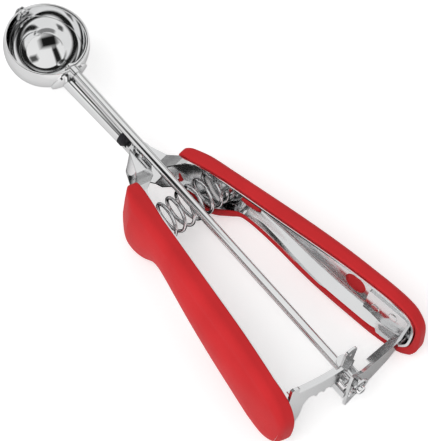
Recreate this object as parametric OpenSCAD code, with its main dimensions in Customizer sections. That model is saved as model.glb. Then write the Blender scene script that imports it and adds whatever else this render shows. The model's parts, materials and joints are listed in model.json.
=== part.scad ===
// Cookie scoop with two squeeze handles. Units are millimetres.
// The working frame has X along the rod towards the handles' ends, and the bowl's rim in the plane z = 0.
// laid() then sets the whole scoop down on its finger guards and heels, with the origin under its middle.

/* [Bowl] */
// Outer radius of the bowl's sphere
bowl_r = 17.1; // [14:0.1:24]
// Thickness of the bowl's wall
bowl_wall = 0.8; // [0.6:0.1:1.2]
// Depth of the sphere's centre below the rim
bowl_sink = 3.8; // [2.5:0.1:5]

/* [Wiper] */
// Width of the wiper band
wiper_w = 7.2; // [5:0.1:9]
// Thickness of the wiper band
wiper_t = 0.5; // [0.4:0.05:0.8]
// Gap between the wiper's ends and the bowl's sides
wiper_gap = 0.3; // [0.2:0.05:0.6]
// How far the wiper's middle starts below the rod's level, in degrees
wiper_start = 9; // [6:1:14]
// Radius of the wiper's far pivot
wiper_pin_r = 1.2; // [0.9:0.1:1.6]

/* [Rod] */
// Radius of the rod
rod_r = 1.83; // [1.5:0.01:2.4]
// Depth of the rod's axis below the rim
rod_sink = 2; // [1.5:0.1:2.6]
// Radial running clearance round the rod and in the handles' pivot
run_gap = 0.05; // [0.02:0.01:0.09]
// Length of the rod behind the rack
rod_tail = 7.9; // [7.5:0.1:16]

/* [Neck] */
// Outer radius of the neck tube at the bowl
neck_r_front = 4.5; // [3.9:0.1:5]
// Outer radius of the neck tube at its open end
neck_r_rear = 3.66; // [3.2:0.01:4.4]
// Wall of the neck tube
neck_wall = 0.8; // [0.5:0.1:1.2]
// Distance from the bowl's middle to the tube's open end
neck_end = 49; // [44:0.5:50]
// Width of the strap that joins the tube to the pivot
strap_w = 4.2; // [3.6:0.1:4.6]

/* [Pivot] */
// Distance from the bowl's middle to the handles' pivot
pivot_x = 59; // [58:0.5:66]
// Depth of the pivot's upper ear below the rim
ear_top = 5.2; // [4.8:0.1:6]
// Height over the outer pair of ears
ear_span = 16.1; // [14:0.1:19]
// Radius of the pivot's pin
pin_r = 1.5; // [1.1:0.1:2]
// Radius of the ears' rounded noses
nose_r = 4.3; // [3.6:0.1:5]
// Space between plates that turn on each other
ear_gap = 0.15; // [0.1:0.05:0.3]

/* [Handles] */
// Angle of each handle from the rod at rest
handle_angle = 9.6; // [9:0.1:11]
// Thickness of the handles' steel
steel_t = 0.8; // [0.6:0.1:1]
// Distance of the trays' open edge from the pivot's line
tray_open = 9; // [8.6:0.1:9.4]
// Distance of the trays' web from the pivot's line
tray_back = 15.2; // [14.8:0.1:17]
// Thickness of the soft grip
grip_t = 1.4; // [1:0.1:2]
// Width of bare steel at the trays' open edge
bare_edge = 0.8; // [0.5:0.1:2]
// Overhang of the grips' lower lip past the trays' open edge
lip_w = 0.6; // [0.2:0.1:1]
// Swelling of the grips' outer face at their middle
swell_t = 0.9; // [0:0.1:2]
// Rounding of the grips' outer edges
grip_round = 3.8; // [2:0.1:4]

/* [Rack] */
// Radius of the toothed rack about the pivot
rack_r = 121.5; // [108:0.5:136]
// Thickness of the arms at the handles' ends
arm_t = 1.2; // [1:0.1:1.4]
// Pitch radius of the pinion
pinion_r = 3.2; // [3.1:0.01:3.3]
// Length of the pinion
pinion_l = 3.4; // [2.4:0.1:3.5]
// Number of rack teeth
rack_teeth = 6; // [5:1:6]

/* [Spring] */
// Outer diameter of the spring
spring_d = 15; // [13:0.1:15.6]
// Diameter of the spring's wire
wire_d = 1.2; // [0.8:0.1:1.6]
// Number of curls in the spring
curls = 7; // [5:1:9]
// Distance of the spring's axis from the bowl's middle
spring_x = 86; // [84:0.5:90]
// Depth of the spring's axis below the rim
spring_sink = 12.2; // [12:0.1:12.4]
// Thickness of the spring's seats at their middle
seat_t = 1.6; // [1.2:0.1:3]

/* [Hidden] */
$fn = 64;

face_gap = 0.02;
rod_end = pivot_x + rack_r + rod_tail;
spring_l = 2 * ((spring_x - pivot_x) * tan(handle_angle) + (tray_back - steel_t) / cos(handle_angle) - seat_t);
far = rack_r + 30;
press_gap = 0.02;
rod_z = -rod_sink;
big = 400;
steel = [0.78, 0.79, 0.8];
red = [0.76, 0.17, 0.17];
black = [0.06, 0.06, 0.07];

// Smooth curve through p, with n steps between neighbouring points.
function knot(p, i) = p[min(max(i, 0), len(p) - 1)];
function blend4(a, b, c, d, t) =
    0.5 * (2 * b + (c - a) * t + (2 * a - 5 * b + 4 * c - d) * t * t + (3 * b - a - 3 * c + d) * t * t * t);
function smooth(p, n) = concat(
    [for (i = [0 : len(p) - 2], k = [0 : n - 1])
        blend4(knot(p, i - 1), p[i], p[i + 1], knot(p, i + 2), k / n)],
    [p[len(p) - 1]]);

// A closed outline's points moved outwards by d along its normals. The outline runs clockwise.
function unit(v) = v / norm(v);
function outward(p, i) =
    let (a = p[(i + len(p) - 1) % len(p)], b = p[(i + 1) % len(p)], w = unit(b - a)) [-w[1], w[0]];
function grown(p, d) = [for (i = [0 : len(p) - 1]) p[i] + d * outward(p, i)];

// Handles are drawn with u along the handle from the pivot, v outwards and z up.
module fixed_side() {
    translate([pivot_x, 0, 0]) rotate([0, 0, handle_angle]) children();
}
module squeeze_side() {
    mirror([0, 1, 0]) fixed_side() children();
}
// Extrudes a (u, z) outline along v, and a (u, v) outline along z.
module along_v(from, to) {
    translate([0, to, 0]) rotate([90, 0, 0]) linear_extrude(to - from) children();
}
module along_z(from, to) {
    translate([0, 0, from]) linear_extrude(to - from) children();
}
// Extrudes a (y, z) outline along x.
module along_x(from, to) {
    translate([from, 0, 0]) rotate([90, 0, 90]) linear_extrude(to - from) children();
}
module rod_hole(r, from, to) {
    translate([from, 0, rod_z]) rotate([0, 90, 0]) cylinder(h = to - from, r = r);
}

// Places along the handles behind the finger guard, which follow the rack's radius.
heel_u = 127.4;
function su(u) = u < 45 ? u : u * (rack_r + 5.9) / heel_u;
function stretched(points) = [for (p = points) [su(p[0]), p[1]]];

// Lowest points of the finger guard and of the heel, before the grip's thickness.
finger_low = [27, -26.8];
heel_low = [su(106), -18.9];

// Side outline of the trays, from the upper ear round the heel to the lower ear.
web_start = 8;
tray_tail = stretched([
    [20, -1.9], [39, 1], [63, 4.3], [88, 7.9], [106, 9.1], [116, 9], [123, 7.2], [126.6, 2.5],
    [127.2, -5.6], [126, -11.4], [121, -16.4], [113, -18.2], [102, -18.2], [88, -16.9], [76, -14.8],
    [64, -11.7], [54, -10], [48, -10], [43.6, -11.6], [40, -15], [36.5, -18.5], [31, -21.1], [20, -21.6]
]);
function tray_outline(nest) =
    smooth(concat([[web_start, -ear_top - nest]], tray_tail, [[web_start, -ear_top - ear_span + nest]]), 5);
// Side outline of the grips before their thickness, with the finger guard below.
grip_front = 12.5;
// Each point also has the depth by which the outer side hangs below the tray, and the heel its lean to the front.
grip_side = smooth([for (p = [
    [grip_front, -9, 0], [grip_front + 0.6, -6.2, 0], [14.9, -4.2, 0], [18.4, -2.6, 0], [25, -0.9, 0], [33, 0.3, 0],
    [39, 1.2, 0], [50, 2.7, 0], [63, 4.5, 0], [88, 8.1, 0], [104, 9.2, 0], [112, 9.3, 0], [118.4, 8.7, 0],
    [123.6, 6.8, 0], [126.8, 2.4, 0], [heel_u, -5.6, 0, 0.6],
    [126.2, -11.6, -1.2, 2.2], [121.1, -16.6, -2, 1.2], [113.1, -18.5, -0.9], [106, -18.6, 0.1], [88, -17.1, 0.4], [76, -15, 1], [64, -11.9, 2.8], [54, -10.3, 3.6],
    [48, -10.3, 3.4], [44, -11.6, 2.6], [39.5, -16.6, 0], [33, -23.6, 0], [27, -26.8, 0], [21.6, -26.2, 0],
    [16.6, -21.5, 0], [13.9, -14.6, 0], [grip_front + 0.2, -11, 0]
]) [su(p[0]), p[1], p[2], len(p) > 3 ? p[3] : 0]], 4);
grip_outline = [for (p = grip_side) [p[0], p[1]]];
function hang(share) = [for (p = grip_side) [p[0] - share * p[3], p[1] - share * p[2]]];

// The whole scoop lies on the finger guards and the heels of the grips.
function along(p) = pivot_x + p[0] * cos(handle_angle) - tray_back * sin(handle_angle);
lie_angle = atan((heel_low[1] - finger_low[1]) / (along(heel_low) - along(finger_low)));
function lowered(p) = -along(p) * sin(lie_angle) + (p[1] - grip_t) * cos(lie_angle);
floor_z = min([for (p = hang(1)) lowered(p)]);
head_t = 0.95;
front_x = -(bowl_r + head_t) * cos(lie_angle) + rod_z * sin(lie_angle);
rear_x = rod_end * cos(lie_angle) + rod_z * sin(lie_angle);
module laid() {
    translate([-(front_x + rear_x) / 2, 0, -floor_z]) rotate([0, lie_angle, 0]) children();
}

// Plan outlines of the trays: the web flares out from the nose to its full depth.
function web_line(d) = smooth([
    [web_start, 6.2 + d], [13, 8.9 + d], [19, 12 + d], [24, tray_back - 1.2 + d],
    [29, tray_back + d], [36, tray_back + d]
], 4);
open_line = [[far, tray_open], [27, tray_open], [20, 8.2], [16.5, 6.6], [12, 1.4], [web_start, 0.2]];
module tray_plan(d) {
    polygon(concat(web_line(d), [[far, tray_back + d]], open_line));
}
module cavity_plan() {
    polygon(concat([[web_start - 1, 5.4]], web_line(-steel_t), [[far, tray_back - steel_t], [far, -9], [web_start - 1, -9]]));
}

// A flat ear with its bore, joined to the tray behind it.
module ear(z) {
    difference() {
        along_z(z, z + steel_t) union() {
            circle(r = nose_r);
            polygon([
                [-0.7, nose_r - 0.05], [web_start + 1, 6.6], [web_start + 1, 0.3], [2, -nose_r + 0.6]
            ]);
        }
        translate([0, 0, z - 1]) cylinder(h = steel_t + 2, r = pin_r + run_gap);
    }
}
// Two bosses of the grip's rubber fill holes in the web: place along the handle, height and radius.
plugs = [[44.6, -7.6, 2.6], [su(96.6), -6.6, 4.8]];
module tray(nest, rivets) {
    top = -ear_top - nest;
    bottom = -ear_top - ear_span + nest;
    difference() {
        union() {
            difference() {
                intersection() {
                    along_v(-10, 20) polygon(tray_outline(nest));
                    along_z(-30, 20) tray_plan(0);
                }
                intersection() {
                    along_v(-20, 30) polygon(concat([[0, top - steel_t]],
                        grown(tray_outline(nest), -steel_t), [[0, bottom + steel_t]]));
                    along_z(-30, 20) cavity_plan();
                }
            }
            ear(top - steel_t);
            ear(bottom);
        }
        for (p = plugs) translate([p[0], 0, p[1]]) rotate([-90, 0, 0]) cylinder(h = 30, r = p[2]);
        for (p = rivets) translate([p[0], 0, p[1]]) rotate([-90, 0, 0]) cylinder(h = 30, r = rivet_r + press_gap);
    }
}

// Rings of the grip's rounded shell: straight sides, then a quarter round to the outer face.
grip_face = tray_back + grip_t;
grip_levels = concat([[11, grip_t, 0.4]], [for (a = [0 : 22.5 : 90]) [
    grip_face - grip_round + grip_round * sin(a), grip_t - grip_round * (1 - cos(a)), 1]]);
function swell(u) = swell_t * exp(-pow((u - 68) / 30, 2));
// The free edge leaves bare steel above and round the heel, and laps over the tray's edge below.
function free_edge(i) = tray_open + lookup(i, [[62, bare_edge], [70, -lip_w], [116, -lip_w], [126, bare_edge]]);
module grip_block() {
    n = len(grip_outline);
    m = (n - 1) / 2;
    rows = len(grip_levels) + 1;
    rim = grown(grip_outline, grip_t);
    points = concat(
        [for (i = [0 : n - 1]) [rim[i][0], free_edge(i), rim[i][1]]],
        [for (level = grip_levels) for (p = grown(hang(level[2]), level[1])) [p[0], level[0] + level[2] * swell(p[0]), p[1]]]);
    sides = [for (k = [0 : rows - 2], i = [0 : n - 1]) let (j = (i + 1) % n, a = k * n, b = a + n)
        each [[a + j, a + i, b + i], [a + j, b + i, b + j]]];
    // Rungs between the upper and the lower edge fill both end faces.
    rungs = concat(
        [for (i = [0 : m - 1]) [i, i + 1, n - 1 - i]],
        [for (i = [0 : m - 2]) [i + 1, n - 2 - i, n - 1 - i]]);
    back = [for (t = rungs) [t[2] + (rows - 1) * n, t[1] + (rows - 1) * n, t[0] + (rows - 1) * n]];
    polyhedron(points, concat(sides, rungs, back));
}
// Plan of the grip's nose, slanted back from its outer corner.
nose_plan = concat([[16, 5], [13.4, 8.4]], smooth([[11.3, 10.6], [12.3, 12.5], [14.8, 14.1], [18, 15.3], [22, 17.4]], 4),
    [[26, 22], [far, 22], [far, 0], [16, 0]]);
module grip(nest) {
    union() {
        difference() {
            intersection() {
                grip_block();
                along_z(-40, 20) polygon(nose_plan);
            }
            intersection() {
                along_v(-10, 20) polygon(grown(tray_outline(nest), face_gap));
                along_z(-40, 20) union() {
                    tray_plan(face_gap);
                    translate([12, 0]) square([far, 12]);
                }
            }
        }
        for (p = plugs) translate([p[0], tray_back - steel_t, p[1]]) rotate([-90, 0, 0])
            cylinder(h = steel_t + grip_t / 2, r = p[2] - face_gap);
    }
}

// The fixed handle's ears nest inside the squeezed handle's ears.
nest = steel_t + ear_gap;
rivet_r = 1;
rivet_spots = [[su(108), -10], [su(116), -7]];
module fixed_tray() {
    color(steel) laid() fixed_side() tray(nest, rivet_spots);
}
module squeeze_tray() {
    color(steel) laid() squeeze_side() tray(0, rivet_spots);
}
module fixed_grip() {
    color(red) laid() fixed_side() grip(nest);
}
module squeeze_grip() {
    color(red) laid() squeeze_side() grip(0);
}

// Bowl, with the rod's hole on the near side and the wiper's pivot on the far side.
module ball(r) {
    translate([0, 0, -bowl_sink]) sphere(r = r, $fn = 96);
}
module bowl() {
    color(steel) laid() difference() {
        ball(bowl_r);
        ball(bowl_r - bowl_wall);
        translate([-30, -30, 0]) cube([60, 60, 30]);
        rod_hole(bush_r + face_gap, 1, 30);
        rod_hole(wiper_pin_r + face_gap, -30, -1);
    }
}
// Curved plate that carries the bowl on the neck.
saddle_t = 1;
saddle_r = 8.2;
module bowl_saddle() {
    color(steel) laid() difference() {
        intersection() {
            ball(bowl_r + face_gap + saddle_t);
            translate([1, 0, -saddle_r - 0.4]) rotate([0, 90, 0]) cylinder(h = 30, r = saddle_r);
        }
        ball(bowl_r + face_gap);
        rod_hole(bush_r + face_gap, 1, 30);
    }
}
// Dark bush that the rod turns in where it enters the bowl.
bush_r = rod_r + 0.75;
module front_bush() {
    x0 = wiper_r + 0.15;
    color(steel) laid() difference() {
        rod_hole(bush_r, x0, x0 + 3);
        rod_hole(rod_r + run_gap, x0 - 1, x0 + 5);
        neck_cone(face_gap);
    }
}

// Tapered neck tube under the rod, set against the saddle.
neck_start = 14;
neck_fall = (neck_r_front - neck_r_rear) / (neck_end - neck_start);
neck_z_front = rod_z - rod_r - face_gap - neck_r_front;
neck_z_rear = rod_z - rod_r - face_gap - neck_r_rear;
module neck_cone(d) {
    lean = atan((neck_z_rear - neck_z_front) / (neck_end - neck_start));
    translate([neck_start, 0, neck_z_front - 0.08]) rotate([0, 90 - lean, 0])
        cylinder(h = neck_end - neck_start, r1 = neck_r_front + d, r2 = neck_r_rear + d);
}
module neck_tube() {
    color(steel) laid() difference() {
        neck_cone(0);
        neck_cone(-neck_wall);
        ball(bowl_r + saddle_t + 2 * face_gap);
    }
}
plug_l = 2.6;
module neck_plug() {
    inner = neck_r_rear - neck_wall - face_gap;
    color(black) laid() translate([neck_end + 0.14, 0, neck_z_rear - 0.08]) rotate([0, 90, 0]) union() {
        translate([0, 0, -5]) cylinder(h = 5.5, r = inner - 0.26);
        cylinder(h = plug_l - 0.8, r = neck_r_rear);
        translate([0, 0, plug_l - 0.81]) cylinder(h = 0.81, r1 = neck_r_rear, r2 = neck_r_rear - 0.8);
    }
}
// Strap under the tube that carries the pivot's barrel.
barrel_top = -ear_top - 2 * (steel_t + ear_gap);
barrel_bottom = -ear_top - ear_span + 2 * (steel_t + ear_gap);
strap_start = 42;
strap_low = -13.2;
module neck_strap() {
    color(steel) laid() difference() {
        translate([0, 0.9, 0]) along_y_block([
            [strap_start, -9.2], [pivot_x, -9.2], [pivot_x, strap_low], [strap_start + 2, strap_low],
            [strap_start, strap_low + 0.8]
        ], strap_w);
        neck_cone(face_gap);
        translate([neck_end - 0.5, 0, neck_z_rear]) rotate([0, 90, 0])
            cylinder(h = plug_l + 1.2, r = neck_r_rear + 0.3);
        translate([pivot_x, 0, -20]) cylinder(h = 20, r = nose_r - 0.1 + face_gap);
    }
}
module along_y_block(points, width) {
    translate([0, width / 2, 0]) rotate([90, 0, 0]) linear_extrude(width) polygon(points);
}
module pivot_barrel() {
    color(steel) laid() translate([pivot_x, 0, barrel_bottom]) difference() {
        cylinder(h = barrel_top - barrel_bottom, r = nose_r - 0.1);
        translate([0, 0, -1]) cylinder(h = 30, r = pin_r + press_gap);
    }
}
module pivot_pin() {
    head_r = 2 * pin_r;
    low = -ear_top - ear_span - ear_gap / 3;
    top = -ear_top + ear_gap / 3;
    color(steel) laid() translate([pivot_x, 0, 0]) union() {
        translate([0, 0, low - 0.5]) cylinder(h = top - low + 1, r = pin_r);
        translate([0, 0, top]) cylinder(h = 0.45, r = head_r);
        translate([0, 0, top + 0.45]) cylinder(h = 0.45, r1 = head_r, r2 = head_r - 0.8);
        translate([0, 0, low - 0.45]) cylinder(h = 0.45, r = head_r);
        translate([0, 0, low - 0.9]) cylinder(h = 0.45, r1 = head_r - 0.8, r2 = head_r);
    }
}

// Spring: one tube, straight along its axis at both ends.
coil_r = (spring_d - wire_d) / 2;
spring_pitch = (spring_l - 2 * wire_d - 2 * wire_d) / curls;
rings_per_curl = 8;
function coil_point(k) =
    let (a = 360 * k / rings_per_curl) [coil_r * cos(a), spring_pitch * k / rings_per_curl, coil_r * sin(a)];
coil_steps = curls * rings_per_curl;
coil_start = -spring_l / 2 + 2 * wire_d;
spring_path = concat(
    [[coil_r, -spring_l / 2 + face_gap, 0], [coil_r, -spring_l / 2 + wire_d, 0]],
    [for (k = [0 : coil_steps]) coil_point(k) + [0, coil_start, 0]],
    [[coil_r, spring_l / 2 - wire_d, 0], [coil_r, spring_l / 2 - face_gap, 0]]);
// Least distance between wire centres more than half a curl apart, less the wire.
coil_gap = min([for (i = [0 : coil_steps], j = [0 : coil_steps])
    if (j >= i + rings_per_curl / 2) norm(coil_point(i) - coil_point(j))]) - wire_d;
echo(spring_least_gap = coil_gap);
module spring() {
    sides = 6;
    n = len(spring_path);
    ring = function (k)
        let (p = spring_path[k], q = unit(spring_path[min(k + 1, n - 1)] - spring_path[max(k - 1, 0)]),
            out = unit([p[0], 0, p[2]]), w = unit(cross(q, out)), o = cross(w, q))
        [for (s = [0 : sides - 1]) p + wire_d / 2 * (cos(360 * s / sides) * o + sin(360 * s / sides) * w)];
    points = [for (k = [0 : n - 1]) each ring(k)];
    walls = [for (k = [0 : n - 2], s = [0 : sides - 1]) let (t = (s + 1) % sides, a = k * sides, b = a + sides)
        each [[a + s, b + t, a + t], [a + s, b + s, b + t]]];
    ends = [for (s = [1 : sides - 2]) each [
        [0, s, s + 1], [(n - 1) * sides, (n - 1) * sides + s + 1, (n - 1) * sides + s]]];
    color(steel) laid() translate([spring_x, 0, -spring_sink]) polyhedron(points, concat(walls, ends));
}
// Seat on the web with a boss inside the coil; its back follows the tray.
module spring_seat() {
    reach = spring_l / 2;
    intersection() {
        translate([spring_x, 0, -spring_sink]) rotate([-90, 0, 0]) union() {
            translate([0, 0, reach]) cylinder(h = 12, r = spring_d / 2 + 0.1);
            translate([0, 0, reach - 2]) cylinder(h = 3, r = coil_r - wire_d / 2 - 0.6);
        }
        fixed_side() along_z(-30, 20)
            polygon(concat([[web_start, -4]], web_line(-steel_t - face_gap), [[far, tray_back - steel_t - face_gap], [far, -4]]));
    }
}
module fixed_spring_seat() {
    color(steel) laid() spring_seat();
}
module squeeze_spring_seat() {
    color(steel) laid() mirror([0, 1, 0]) spring_seat();
}

// Rack arm of the squeezed handle: a leg on the web, and a toothed band curved about the pivot.
pinion_teeth = 6;
tooth_pitch = 2 * PI * pinion_r / pinion_teeth;
pitch_z = rod_z + pinion_r;
tooth_tip = pitch_z - 0.8;
tooth_root = pitch_z + 1.15;
band_top = 12;
flange_w = 2;
flange_t = 0.9;
leg_face = tray_back - steel_t - face_gap;
// The rack's teeth stand this far to the squeezed side of the rod at rest.
mesh_shift = 1;
// The arm's end follows the mouth of the squeezed handle.
mouth = rack_r * sin(handle_angle) + tray_open * cos(handle_angle) - 29.14;
function ends(points) = [for (p = points) [p[0] - mouth, p[1]]];
// One tooth, pointing down, centred on y.
function tooth(y) = [[y + 0.75, tooth_root], [y + 0.3, tooth_tip], [y - 0.3, tooth_tip], [y - 0.75, tooth_root]];
rack_outline = concat(
    ends([[-36, 4], [-28.6, 4], [-28.8, 15.6], [-28, 16.5], [-26.4, 16.5], [-25.6, 15.6], [-25.6, band_top]]),
    [[2.6, band_top], [2.6, tooth_root]],
    [for (k = [0 : rack_teeth - 1]) each tooth((0.5 - k) * tooth_pitch - mesh_shift)],
    ends([[-19.6, 2.9], [-20.5, 1], [-21.3, -2], [-21.5, -10.6], [-22.3, -15.2], [-24.2, -16.4],
        [-27.4, -13.6], [-36, -12]]));
module leg(u_end, top) {
    intersection() {
        along_v(leg_face - arm_t, leg_face) polygon(concat(
            [[su(103), -17]], top, [[u_end, -12.6], [su(116), -16.6]]));
        along_v(0, 30) polygon(grown(tray_outline(0), -steel_t - face_gap));
    }
}
module rivet_holes() {
    for (p = rivet_spots) translate([p[0], 0, p[1]]) rotate([-90, 0, 0]) cylinder(h = 30, r = rivet_r + press_gap);
}
module rack_arm() {
    color(steel) laid() difference() {
        union() {
            intersection() {
                translate([pivot_x, 0, -30]) difference() {
                    cylinder(h = 60, r = rack_r + arm_t / 2, $fn = 200);
                    translate([0, 0, -1]) cylinder(h = 62, r = rack_r - arm_t / 2, $fn = 200);
                }
                along_x(pivot_x + 60, pivot_x + far) polygon(rack_outline);
                squeeze_side() along_z(-40, 40) square([big, 2 * leg_face], center = true);
            }
            // Flange along the band's top edge.
            intersection() {
                translate([pivot_x, 0, band_top - flange_t]) difference() {
                    cylinder(h = flange_t, r = rack_r, $fn = 200);
                    translate([0, 0, -1]) cylinder(h = 3, r = rack_r - flange_w, $fn = 200);
                }
                translate([pivot_x + 60, -mouth - 28.6, 0]) cube([far, 20.1 + mouth, 20]);
            }
            squeeze_side() leg(sqrt(pow(rack_r, 2) - pow(leg_face, 2)),
                [[su(103), -5.9], [su(109), 2.4], [sqrt(pow(rack_r, 2) - pow(leg_face, 2)), 4]]);
        }
        squeeze_side() rivet_holes();
    }
}
// Rivets through the leg and the web, with heads inside the tray.
module leg_rivets() {
    for (p = rivet_spots) translate([p[0], 0, p[1]]) rotate([-90, 0, 0]) union() {
        translate([0, 0, leg_face - arm_t - 0.2]) cylinder(h = arm_t + steel_t + 0.2, r = rivet_r);
        translate([0, 0, leg_face - arm_t - 0.25 - face_gap]) cylinder(h = 0.25, r1 = 1.7, r2 = 2);
    }
}
module rack_rivets() {
    color(steel) laid() squeeze_side() leg_rivets();
}
module bearing_rivets() {
    color(steel) laid() fixed_side() leg_rivets();
}

// Bearing arm of the fixed handle: its cross plate stands square to the handle and carries the rod's bush.
plate_u = rack_r + 1.1;
rear_bush_r = rod_r + 1.1;
// Place of the rod's axis across the plate.
rod_v = -plate_u * tan(handle_angle);
edge_left = [rod_v + 9.7, -0.1];
edge_right = [8.8, -9];
bearing_outline = [
    [leg_face, 2.4], [12.6, -1.6], edge_right, edge_left, [rod_v + 3.1, 2.9], [rod_v - 0.3, 6.4], [rod_v - 4.7, 10],
    [rod_v - 4.7, 6], [rod_v - 4.1, -2], [rod_v - 2.7, -16.8], [rod_v - 1.9, -18], [3, -18], [7.4, -15.4],
    [8.6, -12.9], [leg_face, -12.6]
];
module bearing_arm() {
    color(steel) laid() difference() {
        fixed_side() union() {
            translate([plate_u, 0, 0]) rotate([90, 0, 90]) linear_extrude(arm_t) polygon(bearing_outline);
            // Flange along the sloping top edge.
            translate([plate_u - flange_w, 0, 0]) rotate([90, 0, 90]) linear_extrude(flange_w + 0.5)
                polygon([edge_left, edge_right, edge_right - [0, flange_t], edge_left - [0, flange_t]]);
            leg(plate_u + arm_t, [[su(103.4), -2.4], [su(104), -1.9], [plate_u - 2, -2.8], [plate_u + arm_t, -4.8]]);
        }
        fixed_side() rivet_holes();
        rod_hole(rear_bush_r + face_gap, pivot_x + rack_r - 12, pivot_x + rack_r + 20);
        fixed_side() for (v = foot_rivets) translate([plate_u - 3, v, foot_z])
            rotate([0, 90, 0]) cylinder(h = 6, r = 0.8 + press_gap);
    }
}
bush_x = pivot_x + rack_r + 2.25;
bush_l = 2.7;
module rod_bush() {
    color(steel) laid() difference() {
        rod_hole(rear_bush_r, bush_x, bush_x + bush_l);
        rod_hole(rod_r + run_gap, bush_x - 1, bush_x + bush_l + 1);
    }
}

// Guide bracket: front plate with the rod's second bore, a wall back to the bearing arm, and an upright tab.
guide_x = pivot_x + rack_r - 3.3;
guide_t = 1;
guide_half = 4.2;
guide_low = -10.4;
foot_top = -6.3;
foot_z = -8.4;
foot_rivets = [rod_v - 1.9, rod_v + 0.6];
tab_top = 16.4;
tab_half = 2.8;
module guide_bracket() {
    color(steel) laid() difference() {
        union() {
            along_x(guide_x, guide_x + guide_t) polygon([
                [-guide_half, guide_low + 3], [-guide_half, 2.4], [-tab_half, 5], [-tab_half, tab_top - tab_half],
                [tab_half, tab_top - tab_half], [tab_half, 5], [guide_half, 2.4], [guide_half, -6],
                [-1, guide_low], [-guide_half + 1, guide_low]
            ]);
            along_x(guide_x, guide_x + guide_t) translate([0, tab_top - tab_half]) circle(r = tab_half);
            translate([guide_x + guide_t / 2, 0, 3]) intersection() {
                along_z(0, 0.9) union() {
                    translate([-1.2, 0]) circle(r = 2.9);
                    translate([-1.2, -2.9]) square([1.6, 5.8]);
                }
            }
            translate([guide_x, -guide_half, guide_low]) cube([9, guide_t, foot_top - guide_low]);
            fixed_side() translate([plate_u - face_gap - guide_t, rod_v - 4.06, guide_low]) cube([guide_t, 6, foot_top - guide_low]);
        }
        rod_hole(rod_r + run_gap, guide_x - 5, guide_x + guide_t + 1);
        fixed_side() for (v = foot_rivets) translate([plate_u - 3, v, foot_z])
            rotate([0, 90, 0]) cylinder(h = 6, r = 0.8 + press_gap);
        translate([guide_x - 1, 0, tab_top - tab_half - 1.6]) rotate([0, 90, 0]) cylinder(h = 4, r = 0.9);
        fixed_side() translate([plate_u - face_gap, -60, -40]) cube([40, 120, 40]);
    }
}
// Two rivets that hold the guide's foot against the bearing arm.
module guide_rivets() {
    color(steel) laid() fixed_side() for (v = foot_rivets)
        translate([plate_u - guide_t - face_gap, v, foot_z]) rotate([0, 90, 0]) union() {
            cylinder(h = guide_t + arm_t + 0.4, r = 0.8);
            translate([0, 0, -0.5]) cylinder(h = 0.5, r1 = 0.8, r2 = 1.1);
            translate([0, 0, guide_t + arm_t + 2 * face_gap]) cylinder(h = 0.5, r1 = 1.1, r2 = 0.8);
        }
}

// Rod, with its pinion, its push nut and the wiper fixed to it.
rod_start = 13.6;
module rod() {
    color(steel) laid() union() {
        rod_hole(rod_r, rod_start, rod_end - 0.5);
        translate([rod_end - 0.5, 0, rod_z]) rotate([0, 90, 0]) cylinder(h = 0.5, r1 = rod_r, r2 = rod_r - 0.5);
    }
}
pinion_x = pivot_x + rack_r - 1.5;
pinion_tip = pinion_r + 1;
module pinion() {
    color(steel) laid() difference() {
        union() {
            rod_hole(rod_r + 0.55, pinion_x, pinion_x + pinion_l);
            for (k = [0 : pinion_teeth - 1]) translate([0, 0, rod_z]) rotate([360 * k / pinion_teeth + mesh_shift / pinion_r * 180 / PI, 0, 0])
                along_x(pinion_x, pinion_x + pinion_l) polygon([
                    [-0.75, 1], [-0.45, pinion_tip - 0.35], [-0.2, pinion_tip], [0.2, pinion_tip],
                    [0.45, pinion_tip - 0.35], [0.75, 1]
                ]);
        }
        rod_hole(rod_r + press_gap, pinion_x - 1, pinion_x + pinion_l + 1);
    }
}
// Round push nut with six slots, on the rod's end.
nut_r = 4.5;
nut_x = pivot_x + rack_r + 5.4;
module push_nut() {
    color(steel) laid() difference() {
        union() {
            rod_hole(nut_r, nut_x, nut_x + 0.7);
            rod_hole(nut_r - 1.2, nut_x, nut_x + 1.1);
        }
        rod_hole(rod_r + press_gap, nut_x - 1, nut_x + 3);
        for (k = [0 : 5]) translate([nut_x - 1, 0, rod_z]) rotate([60 * k + 20, 0, 0])
            translate([0, -0.45, rod_r - 0.4]) cube([3, 0.9, 2]);
    }
}

// Wiper: a band round the inside of the bowl, with an eye at each end.
wiper_r = sqrt(pow(bowl_r - bowl_wall, 2) - pow(bowl_sink - rod_sink, 2)) - wiper_gap;
eye_t = 0.8;
eye_r = 3;
module wiper_blade() {
    eye_x = sqrt(pow(wiper_r, 2) - pow(eye_r, 2)) - eye_t;
    color(steel) laid() translate([0, 0, rod_z]) rotate([-wiper_start, 0, 0]) difference() {
        union() {
            intersection() {
                difference() {
                    rotate([0, 0, -90]) sphere(r = wiper_r, $fn = 96);
                    rotate([0, 0, -90]) sphere(r = wiper_r - wiper_t, $fn = 96);
                }
                translate([-30, 1.2, -wiper_w / 2]) cube([60, 30, wiper_w]);
            }
            for (x = [-eye_x - eye_t, eye_x]) translate([x, 0, 0]) rotate([0, 90, 0]) cylinder(h = eye_t, r = eye_r);
        }
        translate([0, 0, 0]) rotate([0, 90, 0]) cylinder(h = 30, r = rod_r + press_gap);
        translate([-30, 0, 0]) rotate([0, 90, 0]) cylinder(h = 30, r = wiper_pin_r + run_gap);
    }
}
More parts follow.
